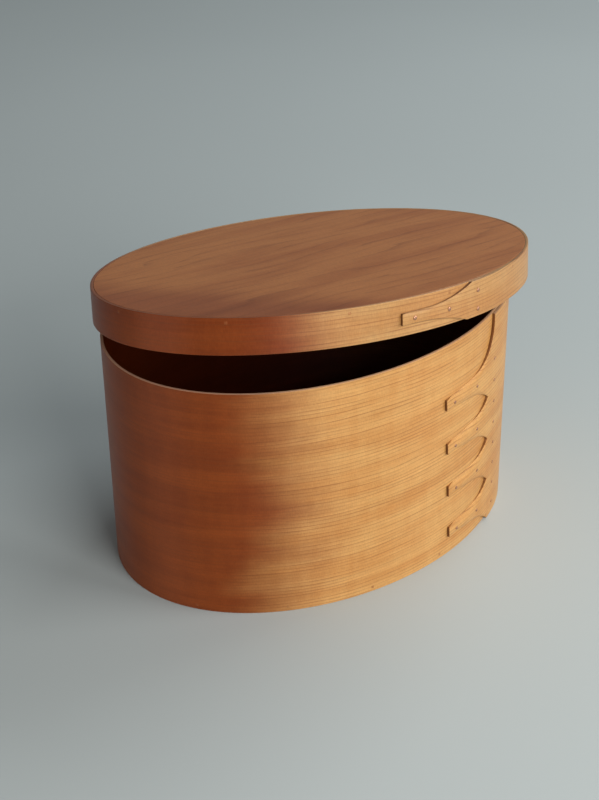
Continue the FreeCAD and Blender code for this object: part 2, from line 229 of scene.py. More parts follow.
@dataclass(frozen=True)
class Oval:
    """An elliptical core, with distances measured along it anticlockwise from above."""

    half_length: float
    half_width: float
    start: float

    @cached_property
    def table(self) -> tuple[Array, Array]:
        """Distances along the ellipse, each step the speed at its middle times the step.

        Returns:
            Parameters from the front middle once round, and the distances to them.
        """
        turns = np.linspace(-math.pi / 2, 1.5 * math.pi, OVAL_TABLE_STEPS + 1)
        middle = (turns[1:] + turns[:-1]) / 2
        speed = np.hypot(self.half_length * np.sin(middle), self.half_width * np.cos(middle))
        return turns, np.concatenate([[0.0], np.cumsum(speed * np.diff(turns))])

    @property
    def perimeter(self) -> float:
        """Distance once round."""
        return float(self.table[1][-1])

    def parameter(self, distance: Array) -> Array:
        """Ellipse parameter at a distance from the start."""
        turns, along = self.table
        return np.interp(np.mod(distance + self.start, self.perimeter), along, turns)

    def normal(self, distance: Array) -> Array:
        """Outward unit normals: half width by the cosine, half length by the sine.

        Args:
            distance: distances along the core.

        Returns:
            Rows of x, y and z.
        """
        turn = self.parameter(np.asarray(distance, dtype=float))
        across = np.stack([self.half_width * np.cos(turn), self.half_length * np.sin(turn),
                           np.zeros_like(turn)], axis=-1)
        return across / np.linalg.norm(across, axis=-1, keepdims=True)

    def point(self, distance: Array, offset: Array, height: Array) -> Array:
        """Points on the core at a distance, plus the normal times an offset.

        Args:
            distance: distances along the core.
            offset: distances outward from it.
            height: heights.

        Returns:
            Rows of x, y and z.
        """
        turn = self.parameter(np.asarray(distance, dtype=float))
        core = np.stack([self.half_length * np.cos(turn), self.half_width * np.sin(turn),
                         np.broadcast_to(height, turn.shape)], axis=-1)
        return core + self.normal(distance) * np.asarray(offset)[..., None]

    def farthest(self, direction: Array) -> Array:
        """Point of the core that reaches farthest in a level direction."""
        axes = np.array([self.half_length, self.half_width, 0.0])
        return axes ** 2 * direction / np.linalg.norm(axes * direction)


@dataclass(frozen=True)
class Fingers:
    """Outline of the swallowtail fingers.

    A side leaves the blunt tip round a small corner, widens at a slight taper and then
    opens out along an arc, until it meets the next finger's side in a narrow nose or
    runs off the band. The line that the tips end on may lean a little.
    """

    centres: tuple[float, ...]
    tip_width: float
    taper: float
    straight: float
    arc: float
    nose: float = 0.0
    lean: float = 0.0
    corner: float = 0.7 * MM
    tip_rows: int = 3
    corner_rows: int = 3
    straight_rows: int = 5
    arc_rows: int = 9
    nose_rows: int = 4

    @property
    def slope(self) -> float:
        """The taper in radians."""
        return math.radians(self.taper)

    @property
    def half_root(self) -> float:
        """Half the finger's width where its arcs begin."""
        return self.tip_width / 2 + self.straight * math.tan(self.slope)

    @property
    def arc_centre(self) -> tuple[float, float]:
        """Centre of a side's arc: distance from the tips, and from the finger's middle."""
        along = self.straight - self.arc * math.sin(self.slope)
        return along, self.half_root + self.arc * math.cos(self.slope)

    def along_arc(self, last: float) -> Array:
        """Points on a side's arc, from its start, which is left out, to a last angle.

        Args:
            last: the angle, measured from straight out.

        Returns:
            Rows of distance from the tips and distance from the finger's middle.
        """
        along, out = self.arc_centre
        angle = steps(self.slope, last, self.arc_rows)
        return np.stack([along + self.arc * np.sin(angle), out - self.arc * np.cos(angle)], axis=-1)

    def side(self, reach: float, valley: bool) -> Array:
        """One side of a finger, from the middle of its tip outward.

        Args:
            reach: how far from the finger's middle the side ends.
            valley: whether it ends in the nose of a valley, rather than at the band's edge.

        Returns:
            Rows of distance from the tips and distance from the finger's middle.
        """
        half_tip = self.tip_width / 2
        across = np.linspace(0.0, half_tip - self.corner, self.tip_rows)
        tip = np.stack([np.zeros_like(across), across], axis=-1)
        turn = steps(0.0, math.pi / 2 - self.slope, self.corner_rows)
        corner = np.stack([self.corner * (1 - np.cos(turn)),
                           half_tip - self.corner * (1 - np.sin(turn))], axis=-1)
        root = np.array([self.straight, self.half_root])
        shares = steps(0.0, 1.0, self.straight_rows)[:, None]
        start = [tip, corner, corner[-1] * (1 - shares) + root * shares]
        along, out = self.arc_centre
        if not valley:
            rows = [*start, self.along_arc(math.acos(max(out - reach, 0.0) / self.arc))]
            if reach > out:
                rows.append(np.array([[along + self.arc, reach]]))
            return np.vstack(rows)
        out_of_line = out - reach
        span = math.sqrt((self.arc - self.nose) ** 2 - out_of_line ** 2)
        meeting = math.atan2(span, out_of_line)
        angle = steps(meeting, math.pi / 2, self.nose_rows)
        nose = np.stack([along + span + self.nose * np.sin(angle),
                         reach - self.nose * np.cos(angle)], axis=-1)
        return np.vstack([*start, self.along_arc(meeting), nose])

    def outline(self, height: float) -> Array:
        """The whole sawn edge, from the band's lower edge to its upper one.

        Args:
            height: the band's height.

        Returns:
            Rows of distance along the strip and height, always rising. The distance is
            the one from the tips plus the lean times the depth below the upper edge.
        """
        edges = [0.0, *[(a + b) / 2 for a, b in zip(self.centres, self.centres[1:])], height]
        parts = []
        for number, centre in enumerate(self.centres):
            lower = self.side(centre - edges[number], valley=number > 0)[::-1] * (1, -1)
            upper = self.side(edges[number + 1] - centre, valley=number < len(self.centres) - 1)
            parts += [lower[:-1] + (0, centre), upper + (0, centre)]
        rows = np.vstack(parts)
        rows[:, 0] += self.lean * (height - rows[:, 1])
        return rows[np.concatenate([[True], np.diff(rows[:, 1]) > LEAST_RISE])]


@dataclass(frozen=True)
class Strip:
    """One strip bent round a core and lapped over its own feathered inner end.

    Each bevel is a width and a depth: at a finger's tip, at its root and along its sides.
    """

    core: Oval
    thickness: float
    height: float
    fingers: Fingers
    root_tack: float
    lap_gap: float = 0.02 * MM
    lap_past_root_tack: float = 8.0 * MM
    feather_length: float = 56.0 * MM
    feather_edge: float = 0.3 * MM
    landing_length: float = 16.0 * MM
    edge_arris: float = 0.45 * MM
    back_arris: float = 0.03 * MM
    tip_bevel: Span = (0.20 * MM, 0.15 * MM)
    root_bevel: Span = (0.30 * MM, 0.22 * MM)
    side_bevel: Span = (5.0 * MM, 2.25 * MM)
    bevel_grows: float = 6.0 * MM
    bevel_fades: Span = (33.0 * MM, 60.0 * MM)
    bevel_blend: float = 2.5 * MM
    bevel_power: float = 1.5
    wall_left: float = 0.06
    lap_columns: int = 18
    column_step: float = 5.0 * MM

    def tip_line(self, height: Array | float) -> Array | float:
        """Distance along the strip of the line that the finger tips end on, at a height."""
        return self.fingers.lean * (self.height - height)

    @property
    def full_length(self) -> float:
        """Distance along the strip at which the inner end begins to thin."""
        return self.tip_line(0.0) + self.root_tack + self.lap_past_root_tack

    @property
    def inner_end(self) -> float:
        """Distance along the strip at which the inner end stops."""
        return self.full_length + self.feather_length

    def inner_layer(self, distance: Array) -> Array:
        """Thickness of the inner end: full, then thinned along a smooth S to its feather edge."""
        thinned = smooth(distance - self.full_length, self.feather_length)
        return self.thickness - (self.thickness - self.feather_edge) * thinned

    def inside(self, distance: Array) -> Array:
        """Offset of the inner face: over the strip's own inner end, and then on the core.

        Args:
            distance: distances along the strip.

        Returns:
            Offsets outward from the core. Past the inner end, what is left of the feather
            edge and the gap falls to none along a smooth S.
        """
        landed = smooth(distance - self.inner_end, self.landing_length)
        over = self.inner_layer(distance) + self.lap_gap
        landing = (self.feather_edge + self.lap_gap) * (1 - landed)
        offset = np.where(distance < self.inner_end, over, landing)
        return np.where(distance > self.core.perimeter, 0.0, offset)

    def outside(self, distance: Array) -> Array:
        """Offset of the strip's outer face."""
        past = distance - self.core.perimeter
        return np.where(past > 0.0, self.inner_layer(past), self.inside(distance) + self.thickness)

    def wood_outside(self, distance: float, height: float) -> float:
        """Offset of the outermost wood at a place on the finished band.

        Args:
            distance: distance along the strip, however often round.
            height: height above the band's lower edge.

        Returns:
            The offset outward from the core.
        """
        past = distance % self.core.perimeter
        outline = self.fingers.outline(self.height)
        starts = float(np.interp(height, outline[:, 1], outline[:, 0]))
        return self.thickness if past < starts else float(self.outside(np.array(past)))

    def rows(self) -> Array:
        """Outline of the sawn end, with the rows that round the band's edges put in.

        Returns:
            Rows of distance along the strip and height.
        """
        outline = self.fingers.outline(self.height)
        low = self.edge_arris * ARRIS_STEPS
        high = self.height - low[::-1]
        inner = outline[(outline[:, 1] > low[-1]) & (outline[:, 1] < high[0])]
        first, last = (np.stack([np.interp(z, outline[:, 1], outline[:, 0]), z], axis=-1)
                       for z in (low, high))
        return np.vstack([first, inner, last])

    def bevels(self, rows: Array) -> Array:
        """Size of the bevel pared along the sawn outline.

        It grows from the tip's size to the side's over a short distance from the tips,
        and falls to the root's between two greater ones. The sizes are then averaged
        along the outline under a bell curve.

        Args:
            rows: the outline.

        Returns:
            Rows of width and depth.
        """
        from_tips = (rows[:, 0] - self.tip_line(rows[:, 1]))[:, None]
        first, last = self.bevel_fades
        grown = np.clip(from_tips / self.bevel_grows, 0.0, 1.0)
        faded = np.clip((from_tips - first) / (last - first), 0.0, 1.0)
        tip, root, side = map(np.array, (self.tip_bevel, self.root_bevel, self.side_bevel))
        sizes = tip + grown * (side - tip) + faded * (root - side)
        lengths = np.linalg.norm(np.diff(rows, axis=0), axis=-1)
        along_outline = np.concatenate([[0.0], np.cumsum(lengths)])
        apart = (along_outline[:, None] - along_outline) / self.bevel_blend
        weight = np.exp(-apart ** 2) * np.gradient(along_outline)
        return weight @ sizes / weight.sum(axis=-1, keepdims=True)

    def pared(self, flat: Array, rows: Array, bevels: Array) -> Array:
        """Depth of the pared bevel at places on the flat strip.

        It is the depth at the nearest point of the outline, times a power of the share of
        the bevel's width that is left there.

        Args:
            flat: places as distance and height.
            rows: the outline.
            bevels: width and depth of the bevel at each of its rows.

        Returns:
            One depth per place.
        """
        step = np.diff(rows, axis=0)
        gap = flat[..., None, :] - rows[:-1]
        share = np.clip((gap * step).sum(axis=-1) / (step ** 2).sum(axis=-1), 0.0, 1.0)
        away = np.linalg.norm(gap - share[..., None] * step, axis=-1)
        nearest = away.argmin(axis=-1)[..., None]
        away, share = (np.take_along_axis(values, nearest, axis=-1) for values in (away, share))
        near = nearest[..., 0]
        width, depth = np.moveaxis(bevels[near] * (1 - share) + bevels[near + 1] * share, -1, 0)
        return depth * np.clip(1 - away[..., 0] / width, 0.0, 1.0) ** self.bevel_power

    def spread(self) -> tuple[Array, Array, Array, Array]:
        """The strip laid flat, as a grid with rows up it and columns along it.

        Each row starts on the sawn outline, takes small steps while the bevel lasts, and
        runs level to the end of the lap and on along the band.

        Returns:
            Distance, height, and the depths by which the outer and the inner face are
            rounded or pared, as arrays of rows by columns.
        """
        rows = self.rows()
        bevels = self.bevels(rows)
        edge = rows[:, :1] + bevels[:, :1] * ARRIS_STEPS
        share = steps(0.0, 1.0, self.lap_columns)
        lap = edge[:, -1:] * (1 - share) + self.full_length * share
        end = self.core.perimeter + self.inner_end
        count = int(round((end - self.full_length) / self.column_step))
        plain = steps(self.full_length, end, count)
        distance = np.hstack([edge, lap, np.broadcast_to(plain, (len(rows), count))])
        height = np.broadcast_to(rows[:, 1:], distance.shape)
        near_end = edge.shape[1] + lap.shape[1]
        outer = np.zeros(distance.shape)
        flat = np.stack([distance, height], axis=-1)[:, :near_end]
        outer[:, :near_end] = self.pared(flat, rows, bevels)
        edges = rounding(np.minimum(height, self.height - height), self.edge_arris)
        inner = rounding(distance - rows[:, :1], self.back_arris)
        return distance, height, np.maximum(outer, edges), np.maximum(inner, edges)

    def bent(self) -> Shape:
        """The strip bent round its core and closed into a solid shell.

        A point is the core at its distance, plus the normal times the face's offset, less
        or plus the depth pared off that face. The two faces share the grid, and ribbons
        of quads close them along the four edges.

        Returns:
            The shape, with its sawn end last.
        """
        distance, height, outer_depth, inner_depth = self.spread()
        inner, outer = self.inside(distance), self.outside(distance)
        most = (outer - inner) * (1 - self.wall_left)
        inner_depth = np.minimum(inner_depth, most / 2)
        front = outer - np.minimum(outer_depth, most - inner_depth)
        offsets = np.stack([front, inner + inner_depth])
        distances, heights = np.stack([distance] * 2), np.stack([height] * 2)
        points = self.core.point(distances, offsets, heights).reshape(-1, 3)
        grain = np.stack([distances, heights, offsets - inner], axis=-1).reshape(-1, 3)
        count, columns = distance.shape
        out, back = np.arange(2 * count * columns).reshape(2, count, columns)
        faces = [grid_faces(count, columns), grid_faces(count, columns, out.size)[:, ::-1],
                 ribbon_faces(back[0], out[0]), ribbon_faces(out[-1], back[-1]),
                 ribbon_faces(out[:, 0], back[:, 0]), ribbon_faces(back[:, -1], out[:, -1])]
        wall = (offsets[0, :, 0] - offsets[1, :, 0]) / self.thickness
        sawn = np.concatenate([np.sqrt(wall[1:] * wall[:-1]), np.ones(count - 1)])
        return Shape(points, faces, grain, sawn)


@dataclass(frozen=True)
class Board:
    """Flat oval board that fits inside a band."""

    core: Oval
    thickness: float
    base: float
    clearance: float = 0.1 * MM
    arris: float = 0.3 * MM
    around: int = 360
    flat_rings: tuple[float, ...] = (0.75, 0.5, 0.25, 0.08)

    def turned(self) -> Shape:
        """The board's half section carried round its oval.

        A point is the half axes less an inset, times the cosine and sine of the turn,
        where the inset follows flat face, arris, side, arris and flat face. Fans close
        the two middles.

        Returns:
            The shape.
        """
        half = np.array([self.core.half_length, self.core.half_width]) - self.clearance
        insets = np.concatenate([np.array(self.flat_rings) * half[1],
                                 self.arris * ARRIS_STEPS[:0:-1], [0.0]])
        fall = rounding(insets, self.arris)
        low = np.stack([insets, fall], axis=-1)
        high = np.stack([insets, self.thickness - fall], axis=-1)[::-1]
        inset, height = np.vstack([low, high]).T[..., None]
        turn = full_turn(self.around)
        level = np.broadcast_to(height + self.base, (len(height), self.around))
        along, across = (half[0] - inset) * np.cos(turn), (half[1] - inset) * np.sin(turn)
        rings = np.stack([along, across, level], axis=-1)
        points, faces = capped(rings, self.base, self.base + self.thickness)
        return Shape(points, faces, points)


@dataclass(frozen=True)
class Place:
    """A place on a band's face where a fastening is driven, with axes square to it."""

    seat: Array
    side: Array
    outward: Array
    depth: float

    @classmethod
    def on(cls, strip: Strip, distance: float, height: float) -> "Place":
        """The place on a finished band, with its side axis running anticlockwise.

        Args:
            strip: the band's strip.
            distance: distance along it.
            height: height above its lower edge.

        Returns:
            The place, and how deep the wood is there.
        """
        depth = strip.wood_outside(distance, height)
        outward = strip.core.normal(np.array(distance))
        seat = strip.core.point(np.array(distance), np.array(depth), np.array(height))
        return cls(seat, np.cross(UP, outward), outward, depth)

    def put(self, points: Array) -> Array:
        """Points from side, up and outward to the band's own frame."""
        return self.seat + points @ np.stack([self.side, UP, self.outward])


def square_loft(stations: Array) -> Mesh:
    """A closed square bar through stations along a bent path.

    A corner is the middle plus or minus the half width to the side, and plus or minus it
    across, along up and outward by the cosine and sine of the lean.

    Args:
        stations: rows of a middle's up and outward places, half width, and the angle by
            which the section leans from outward towards up, in radians.

    Returns:
        Points as side, up and outward, and the bar's faces.
    """
    up, out, half, lean = stations.T[..., None]
    corner = np.array([[-1, -1], [1, -1], [1, 1], [-1, 1]], dtype=float)
    side, across = half * corner[:, 0], half * corner[:, 1]
    points = np.stack([side, up + across * np.cos(lean), out + across * np.sin(lean)], axis=-1)
    count = len(stations)
    walls = grid_faces(count, 4, closed=True)[:, ::-1]
    ends = np.array([[0, 1, 2, 3], [3, 2, 1, 0]]) + np.array([[0], [4 * (count - 1)]])
    return points.reshape(-1, 3), [walls, ends]


# Section of a tack's head from its base to near its middle: radius and height as shares.
HEAD_SECTION = np.array([[0.90, 0.0], [0.985, 0.06], [1.0, 0.20], [0.97, 0.38], [0.88, 0.62],
                         [0.72, 0.82], [0.50, 0.95], [0.25, 1.0]])
# Bend of a tack's point: up, outward and half width as shares of half its width, and lean.
CLINCH = ((0.0, 0.1, 1.0, 0.35), (-0.3, 0.0, 1.0, 0.8), (-1.2, 0.0, 0.98, math.pi / 2))


@dataclass(frozen=True)
class Tack:
    """Cut copper tack: a hammered dome, a square shank and a point clinched downwards."""

    head_radius: float = 1.65 * MM
    head_height: float = 0.62 * MM
    shank: float = 1.5 * MM
    point: float = 0.8 * MM
    straight: float = 0.98
    clinch_length: float = 2.2 * MM
    clinch_rise: float = 0.6
    clinch_end: float = 0.3 * MM
    lobes: Span = (0.025, 0.015)
    lean: float = 0.06
    around: int = 24

    def head(self, rng: np.random.Generator) -> Mesh:
        """The head as a dome carried round, flattened on top and slightly out of round.

        Each ring's radius is the head's times the section's, times one plus a small
        two-lobed and three-lobed wave; its height is the section's plus a slight lean.

        Args:
            rng: where the directions of the lobes and of the lean come from.

        Returns:
            Points as side, up and outward, and faces.
        """
        turn = full_turn(self.around)
        lobe, lean = rng.uniform(0.0, 2 * math.pi, 3), rng.uniform(0.0, 2 * math.pi)
        two, three = self.lobes
        wave = 1 + two * np.cos(2 * turn + lobe[0]) + three * np.cos(3 * turn + lobe[1])
        radius = self.head_radius * HEAD_SECTION[:, :1] * wave
        tilt = self.lean * self.head_height * np.cos(turn - lean) * HEAD_SECTION[:, 1:]
        height = self.head_height * HEAD_SECTION[:, 1:] + tilt
        rings = np.stack([radius * np.cos(turn), radius * np.sin(turn), height], axis=-1)
        return capped(rings, 0.0, self.head_height)

    def leg(self, depth: float) -> Mesh:
        """The shank through the wood and the point bent down against the inside.

        Args:
            depth: how deep the wood is.

        Returns:
            Points as side, up and outward, and faces.
        """
        half, bend = self.point / 2, -depth - self.point / 2
        rows = [(0.0, 0.0, self.shank / 2, 0.0), (0.0, -depth * self.straight, half, 0.0)]
        rows += [(up * half, bend + out * half, wide * half, lean)
                 for up, out, wide, lean in CLINCH]
        rows.append((-self.clinch_length, bend + half * self.clinch_rise, self.clinch_end / 2,
                     math.pi / 2))
        return square_loft(np.array(rows))

    def driven(self, place: Place, rng: np.random.Generator) -> Shape:
        """The clinched tack, head and leg in one mesh.

        Args:
            place: where on the band it is driven.
            rng: where the head's small differences come from.

        Returns:
            The shape.
        """
        head, head_faces = self.head(rng)
        leg, leg_faces = self.leg(place.depth)
        points = np.vstack([head, leg])
        faces = head_faces + [rows + len(head) for rows in leg_faces]
        return Shape(place.put(points), faces, points)


@dataclass(frozen=True)
class Peg:
    """Square tapered wooden peg, pared off flush with the band."""

    head: float = 2.2 * MM
    point: float = 0.9 * MM
    length: float = 13.0 * MM
    proud: float = 0.03 * MM
    arris: float = 0.08 * MM

    def driven(self, place: Place, seat: Seat) -> Shape:
        """The peg with its grain running inward, each from another place in the wood.

        Args:
            place: where on the band it is driven.
            seat: where the sub-assembly stands.

        Returns:
            The shape.
        """
        rows = [(0.0, self.proud, self.head / 2 - self.arris, 0.0),
                (0.0, self.proud - self.arris / 2, self.head / 2, 0.0),
                (0.0, -self.length, self.point / 2, 0.0)]
        points, faces = square_loft(np.array(rows))
        driven = place.put(points)
        return Shape(driven, faces, points[:, [2, 0, 1]] + seat.put(driven).sum())


# ---- Finishes ----


@dataclass(frozen=True)
class Noise:
    """Smooth noise: its lengths along and across the grain, and its values for none and all."""

    along: float
    across: float
    shift: float = 0.0
    detail: float = 2.0
    roughness: float = 0.5
    span: Span = (0.3, 0.7)


class Nodes:
    """Short ways to add shader nodes to one material, whose patterns read the flat board."""

    def __init__(self, name: str, seed: float = 0.0) -> None:
        """Start an empty material.

        Args:
            name: its name.
            seed: how far its patterns are shifted from those of other materials.
        """
        self.seed = seed
        self.material = bpy.data.materials.new(name)
        self.material.use_nodes = True
        self.tree = self.material.node_tree
        self.tree.nodes.clear()
        self.place = self.add("Attribute", attribute_name=GRAIN).outputs["Vector"]

    def add(self, kind: str, inputs: dict[str | int, object] | None = None,
            **settings: object) -> bpy.types.Node:
        """Add a node.

        Args:
            kind: the node's type without its prefix.
            inputs: a socket to link, or a value to set, for each input by name or number.
            settings: the node's own properties.

        Returns:
            The node.
        """
        node = self.tree.nodes.new("ShaderNode" + kind)
        for key, value in settings.items():
            setattr(node, key, value)
        for key, value in (inputs or {}).items():
            if isinstance(value, Socket):
                self.tree.links.new(value, node.inputs[key])
            else:
                node.inputs[key].default_value = value
        return node

    def part(self, axis: str) -> Socket:
        """Part of the place: X along the flat board, Y across it or Z through it."""
        return self.add("SeparateXYZ", {0: self.place}).outputs[axis]

    def math(self, operation: str, first: Socket | float, second: Socket | float = 0.0) -> Socket:
        """Result of a sum on two numbers."""
        return self.add("Math", {0: first, 1: second}, operation=operation).outputs[0]

    def product(self, first: Socket | float, second: Socket | float) -> Socket:
        """Two numbers multiplied."""
        return self.math("MULTIPLY", first, second)

    def vector(self, operation: str, first: Socket, second: tuple[float, float, float],
               output: int | str = 0) -> Socket:
        """Result of a sum on two vectors."""
        return self.add("VectorMath", {0: first, 1: second}, operation=operation).outputs[output]

    def noise(self, noise: Noise) -> Socket:
        """Values of a noise, at the place divided by its lengths and then shifted.

        Args:
            noise: its lengths, shift and detail.

        Returns:
            Numbers from 0 to 1, about 0.5.
        """
        scales = (1 / noise.along, 1 / noise.across, 1 / noise.across)
        shifts = tuple((self.seed + noise.shift) * share for share in SHIFT_SHARES)
        moved = self.vector("ADD", self.vector("MULTIPLY", self.place, scales), shifts)
        return self.add("TexNoise", {"Vector": moved, "Scale": 1.0, "Detail": noise.detail,
                                     "Roughness": noise.roughness}).outputs["Fac"]

    def between(self, value: Socket, span: Span, tones: Span = (0.0, 1.0)) -> Socket:
        """A number mapped smoothly from one range to another, and held at its ends."""
        return self.add("MapRange", {"Value": value, "From Min": span[0], "From Max": span[1],
                                     "To Min": tones[0], "To Max": tones[1]},
                        interpolation_type="SMOOTHSTEP").outputs[0]

    def pattern(self, noise: Noise, tones: Span = (0.0, 1.0)) -> Socket:
        """A noise mapped smoothly from its span to two tones."""
        return self.between(self.noise(noise), noise.span, tones)

    def swing(self, noise: Noise, size: float) -> Socket:
        """A noise less a half, times a size."""
        return self.product(self.math("SUBTRACT", self.noise(noise), 0.5), size)

    def blend(self, share: Socket | float, first: Socket | Colour, second: Socket | Colour,
              mode: str = "MIX") -> Socket:
        """Two colours mixed by a share.

        Args:
            share: how much of the second shows.
            first: the colour underneath.
            second: the colour over it.
            mode: how they mix.

        Returns:
            The colour.
        """
        colours = [c if isinstance(c, Socket) else (*c, 1.0) for c in (first, second)]
        node = self.add("Mix", {0: share, 6: colours[0], 7: colours[1]}, data_type="RGBA",
                        blend_type=mode)
        return node.outputs[2]

    def finish(self, shader: Socket) -> Material:
        """Join the surface to the output and return the material."""
        self.add("OutputMaterial", {"Surface": shader})
        return self.material


class Cut(Enum):
    """How a board's growth rings meet its face."""

    BAND = (0.0, 1.0, 0.25)
    PLANK = (0.0, 0.55, 1.0)


class Tones(Enum):
    """Light and dark tones of a wood, and the colour of its growth lines."""

    GOLDEN = ((0.575, 0.312, 0.104), (0.460, 0.192, 0.047), (0.160, 0.043, 0.011))
    LID_GOLDEN = ((0.460, 0.250, 0.092), (0.392, 0.168, 0.047), (0.155, 0.043, 0.012))
    BROWN = ((0.53, 0.204, 0.068), (0.40, 0.130, 0.042), (0.18, 0.052, 0.020))
    SAPWOOD = ((0.38, 0.175, 0.060), (0.31, 0.125, 0.039), (0.20, 0.06, 0.018))
    # RED: pegs driven into the bands' redder wood, which is painted shade.
    RED = ((0.25, 0.065, 0.015), (0.20, 0.046, 0.010), (0.14, 0.035, 0.009))


# What bends the growth rings, makes them uneven and lets their lines come and go.
BEND = Noise(190 * MM, 60 * MM)
WOBBLE = Noise(110 * MM, 8 * MM, 3, 3.0)
FADING = Noise(80 * MM, 3.5 * MM, 7, 3.0, span=(0.36, 0.64))
# Figure: clouds of darker wood, and curl across the grain.
CLOUD = Noise(130 * MM, 17 * MM, 11, 3.0, 0.55, (0.36, 0.66))
WIDE_CLOUD = Noise(160 * MM, 24 * MM, 11, 3.0, 0.55, (0.36, 0.66))
CURL = Noise(9 * MM, 42 * MM, 13, span=(0.34, 0.66))
# Where the redder wood ends; on the bands that wood is painted shade.
RAGGED = Noise(110 * MM, 30 * MM, 23, 3.0)
# Fine fibre, rays across it, streaks along it and gum flecks.
FIBRE = Noise(11 * MM, 0.4 * MM, 17, 3.0, 0.6, (0.25, 0.75))
RAYS = Noise(0.8 * MM, 3.2 * MM, 29, 2.0, 0.6)
STREAK = Noise(120 * MM, 1.6 * MM, 31, 3.0, 0.6)
FLECKS = Noise(5.5 * MM, 0.5 * MM, 19, 1.0, span=(0.72, 0.80))
# Tarnish and hammer marks of copper.
TARNISH = Noise(0.9 * MM, 0.9 * MM, 2.0, 3.0, 0.6)
DENTS = Noise(0.55 * MM, 0.55 * MM, 5.0, 1.0)
# Unevenness of the floor's tone.
PAPER = Noise(0.9, 0.9)


@dataclass(frozen=True)
class HeartwoodAndShade:
    """Redder, darker wood along a strip, whose soft end slants back above and below a knee. On the
    bands it is painted shade over the part that lies in shade.
    """

    first: float
    last: float
    fade: float
    slant: float = 0.0
    knee: float = 0.0
    light: Colour = (0.240, 0.050, 0.0075)
    dark: Colour = (0.165, 0.030, 0.0045)
    ragged: float = 0.9


